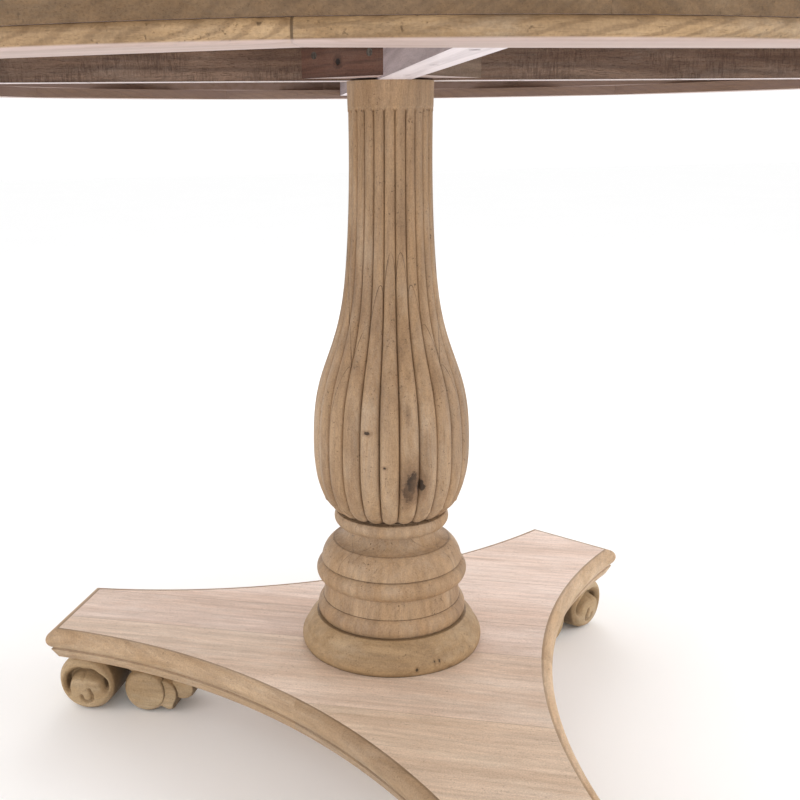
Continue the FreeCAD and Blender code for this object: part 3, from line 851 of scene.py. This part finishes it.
def joint_lines(number):
    """Dark lines at a bead segment's ends; the open joint is between the sixth and seventh."""
    ends = ((-1, open_joint if number == 7 else closed_joint),
            (0, open_joint if number == 6 else closed_joint))

    def lines(tree, where):
        masks = []
        for step, share in ends:
            off = split(tree, where, bead_turn + segment_turn * (number + step))[0]
            masks.append(mapped(tree, maths(tree, "ABSOLUTE", off), 0.4 * MM, 1.0 * MM, share,
                                0.0))
        return highest(tree, *masks)

    return lines


def finish_rim():
    for number in range(1, 13):
        name = "apron_bead_%d" % number
        angle = bead_turn + segment_turn * (number - 0.5)
        tone = bead_tones.get(number, 1.0)
        material = wood(name + "_wood", BEAD, angle + 90.0, 70.0 + 2.1 * number,
                        tone=(tone, tone, tone), ring_scale=78.0, under=PALE_AND_LIT_UNDER,
                        inner=INNER_PAINTED_SHADE, extra_dark=joint_lines(number))
        finish_cad(name, material, 0.35 * MM)
    for number in range(1, 5):
        name = "apron_ring_%d" % number
        angle = bead_turn + 90.0 * (number - 1) + segment_turn
        material = wood(name + "_wood", APRON, angle + 90.0, 110.0 + number, under=PALE_AND_LIT_UNDER,
                        inner=INNER_PAINTED_SHADE)
        finish_cad(name, material, 0.3 * MM)
    for number in range(1, 8):
        name = "top_plank_%d" % number
        tone = 1.0 + 0.08 * math.sin(2.3 * number)
        lines = edge_lines(name, column_turn + 90.0, 0.9 * MM, 0.7)
        material = wood(name + "_wood", TOP, column_turn, 130.0 + 1.9 * number,
                        tone=(tone, tone, tone), extra_dark=lines)
        finish_cad(name, material, 0.8 * MM)


ring_knots = (
    (compass(184.3, 98 * MM, platform_top + 8 * MM), 1.7 * MM, (1.0, 1.0, 0.8)),
    (compass(161.4, 96 * MM, platform_top + 3 * MM), 2.2 * MM, (1.0, 1.0, 1.0)),
    (compass(169.2, 97 * MM, platform_top + 12 * MM), 1.2 * MM, (1.0, 1.0, 0.25)),
    (compass(172.5, 97 * MM, platform_top + 11 * MM), 1.1 * MM, (1.0, 1.0, 0.25)))
block_kinds = (BROWN_BLOCK, BROWN_BLOCK, RED_BLOCK, RED_BLOCK)
block_face_out = 73.0 * MM    # the corner blocks' sloping faces, from the axis


def ring_lines(tree, where):
    """The seams above and below the ring at the column's foot."""
    low = times(tree, level_line(tree, where, platform_top, 1.0 * MM), 0.75)
    return highest(tree, low, times(tree, level_line(tree, where, ring_top, 0.4 * MM), 0.35))


def finish_frame():
    finish_cad("base_ring", wood("base_ring_wood", BLEACHED, plank_angle, 5.3,
                                 tone=(0.95, 0.95, 0.88), knots=ring_knots,
                                 extra_dark=ring_lines))
    # the bearers' pale under colours hold painted light from the floor below
    finish_cad("bearer_long", wood("bearer_long_wood", PALE_BEARER, column_turn, 150.0,
                                   under=(0.86, 0.78, 0.80)), 0.8 * MM)
    finish_cad("bearer_cross", wood("bearer_cross_wood", ROUGH, column_turn + 90.0, 152.0,
                                    under=(0.86, 0.78, 0.78)), 0.8 * MM)
    screw_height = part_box("block_screws")[1].z - 3.6 * MM
    face_at = compass(column_turn + 225.0, block_face_out, screw_height - 7.0 * MM)
    block_knots = ((face_at + compass(column_turn + 315.0, 4 * MM), 3.6 * MM, (1.0, 1.0, 1.0)),)
    for number, kind in enumerate(block_kinds, 1):
        name = "corner_block_%d" % number
        finish_cad(name, wood(name + "_wood", kind, column_turn + 45.0 + 90.0 * number,
                              160.0 + number, knots=block_knots, under=PALE_AND_LIT_UNDER))
    metal = steel("zinc")
    for name in ("block_screws", "foot_screws", "top_screws", "rod_nuts", "rod_washers",
                 "tie_rod"):
        finish_cad(name, metal)


# ---- floor, lights and camera ----
floor_half = 14.0             # metres
sky_strength = 1.02
soft_lights = (               # name, bearing, distance, height, width, watts, aimed at height
    ("key", 118.0, 2.6, 1.5, 1.8, 25.0, 0.4),
    ("fill", 272.0, 2.8, 1.1, 2.2, 15.0, 0.4),
    ("back", 20.0, 3.0, 2.2, 2.0, 22.0, 0.4),
    ("low", 205.0, 2.4, 0.35, 1.6, 11.0, 0.1))


def studio():
    mesh = bpy.data.meshes.new("floor")
    corners = ((-1, -1), (1, -1), (1, 1), (-1, 1))
    mesh.from_pydata([(x * floor_half, y * floor_half, 0) for x, y in corners], [],
                     [(0, 1, 2, 3)])
    floor = bpy.data.objects.new("floor", mesh)
    bpy.context.scene.collection.objects.link(floor)
    material = bpy.data.materials.new("pale_floor")
    material.use_nodes = True
    tree = material.node_tree
    tree.nodes.clear()
    where = node(tree, "ShaderNodeTexCoord").outputs["Object"]
    clouds = fibres(tree, where, 1.5, 1.5)
    colour = mixed(tree, clouds, grey(0.965), grey(0.985))
    shader = node(tree, "ShaderNodeBsdfPrincipled",
                  {"Base Color": colour, "Roughness": 0.9, "Specular IOR Level": 0.1})
    node(tree, "ShaderNodeOutputMaterial", {"Surface": shader.outputs[0]})
    dress(floor, material)

    world = bpy.data.worlds.new("studio")
    bpy.context.scene.world = world
    world.use_nodes = True
    background = world.node_tree.nodes["Background"]
    background.inputs["Color"].default_value = (1.0, 1.0, 1.0, 1.0)
    background.inputs["Strength"].default_value = sky_strength

    for name, bearing, distance, height, size, power, aim in soft_lights:
        data = bpy.data.lights.new(name, "AREA")
        data.shape = "DISK"
        data.size = size
        data.energy = power
        lamp = bpy.data.objects.new(name, data)
        lamp.location = compass(bearing, distance, height)
        towards = Vector((0.0, 0.0, aim)) - lamp.location
        lamp.rotation_euler = towards.to_track_quat("-Z", "Y").to_euler()
        bpy.context.scene.collection.objects.link(lamp)

    bpy.context.scene.view_settings.view_transform = "Standard"


def viewer():
    """The camera, at a viewer's distance from the column and well above the platform."""
    distance, bearing, eye_height = 1.1004, 199.63, platform_top + 0.5517
    heading, pitch, roll = 18.03, 14.33, 0.52
    forward = compass(heading, math.cos(math.radians(pitch)), -math.sin(math.radians(pitch)))
    level = compass(heading + 90.0)
    upright = level.cross(forward)
    c, s = math.cos(math.radians(roll)), math.sin(math.radians(roll))
    right = c * level - s * upright
    up = c * upright + s * level
    data = bpy.data.cameras.new("viewer")
    data.sensor_width = 36.0
    data.lens = 48.47
    data.shift_x = 0.0476
    data.clip_start, data.clip_end = 0.01, 100.0
    camera = bpy.data.objects.new("viewer", data)
    turn = Matrix((right, up, -forward)).transposed().to_4x4()
    camera.matrix_world = Matrix.Translation(compass(bearing, distance, eye_height)) @ turn
    bpy.context.scene.collection.objects.link(camera)
    bpy.context.scene.camera = camera


column_look()
for number, angle in enumerate(arm_angles, 1):
    foot_look(number, angle)
finish_platform()
finish_lippings()
finish_rim()
finish_frame()
studio()
viewer()
